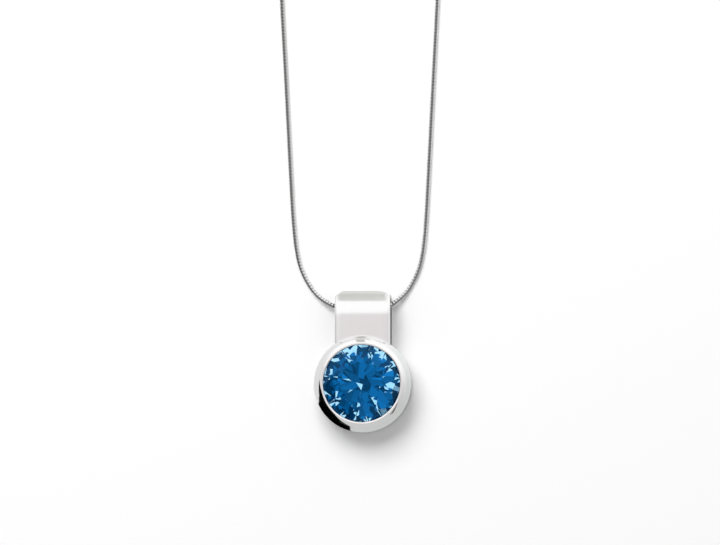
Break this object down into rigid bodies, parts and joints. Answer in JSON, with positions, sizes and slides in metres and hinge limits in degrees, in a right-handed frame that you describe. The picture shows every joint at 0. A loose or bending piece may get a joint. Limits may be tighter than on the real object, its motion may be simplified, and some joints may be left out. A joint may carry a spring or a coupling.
{
  "type": "pendant necklace",
  "caption": "Pendant necklace: round faceted blue stone in a polished bezel, with a folded strap bail on a thin snake chain with a lobster clasp.",
  "frame": {"origin": "middle of the pendant's underside, where it lies on a surface; the chain is left out", "axes": "+Z the way the stone faces; +Y from the stone to the bail; +X to the stone's right seen from the front"},
  "size_m": [0.0295, 0.1486, 0.0087],
  "materials": {
    "blue_stone": "clear faceted blue stone, polished",
    "polished_metal": "mirror polished white metal",
    "chain_metal": "fine snake links, bright",
    "cap_metal": "polished, with turned beads",
    "wire_metal": "drawn wire, polished",
    "clasp_metal": "cast and tumbled, bright",
    "spring_steel": "drawn spring wire"
  },
  "bodies": {
    "chain": {"snake_chain": "chain_metal", "ferrule_a": "cap_metal", "ferrule_b": "cap_metal", "eyelet_a": "wire_metal", "eyelet_b": "wire_metal"},
    "pendant": {"gemstone": "blue_stone", "bezel_wall": "polished_metal", "bearing_ring": "polished_metal", "back_gallery": "polished_metal", "bail_strap": "polished_metal"},
    "ring_a": {"jump_ring_a": "wire_metal"},
    "clasp": {"clasp_body": "clasp_metal", "clasp_rivet": "wire_metal"},
    "lever": {"clasp_lever": "clasp_metal", "clasp_spring": "spring_steel"},
    "ring_b": {"jump_ring_b": "wire_metal"},
    "tag": {"quality_tag": "clasp_metal"}
  },
  "joints": [
    {"name": "pendant_swing", "type": "hinge", "parent": "chain", "child": "pendant", "pos_m": [0, 0.0096, 0.0024], "axis": [-1, 0, 0], "range_deg": [0, 120]},
    {"name": "ring_a_lift", "type": "hinge", "parent": "chain", "child": "ring_a", "pos_m": [-0.0049, 0.08087, 0.00075], "axis": [-1, 0, 0], "range_deg": [0, 75]},
    {"name": "clasp_lift", "type": "hinge", "parent": "ring_a", "child": "clasp", "pos_m": [-0.0049, 0.07766, 0.00075], "axis": [-1, 0, 0], "range_deg": [0, 80]},
    {"name": "lever_open", "type": "hinge", "parent": "clasp", "child": "lever", "pos_m": [-0.00545, 0.07336, 0.0009], "axis": [0, 0, 1], "range_deg": [0, 16], "stiffness_Nm_per_rad": 0.0004, "springref_deg": -5.73},
    {"name": "ring_b_lift", "type": "hinge", "parent": "chain", "child": "ring_b", "pos_m": [0.00485, 0.08087, 0.00075], "axis": [-1, 0, 0], "range_deg": [0, 75]},
    {"name": "tag_lift", "type": "hinge", "parent": "ring_b", "child": "tag", "pos_m": [0.00485, 0.07766, 0.00075], "axis": [-1, 0, 0], "range_deg": [0, 80]}
  ]
}
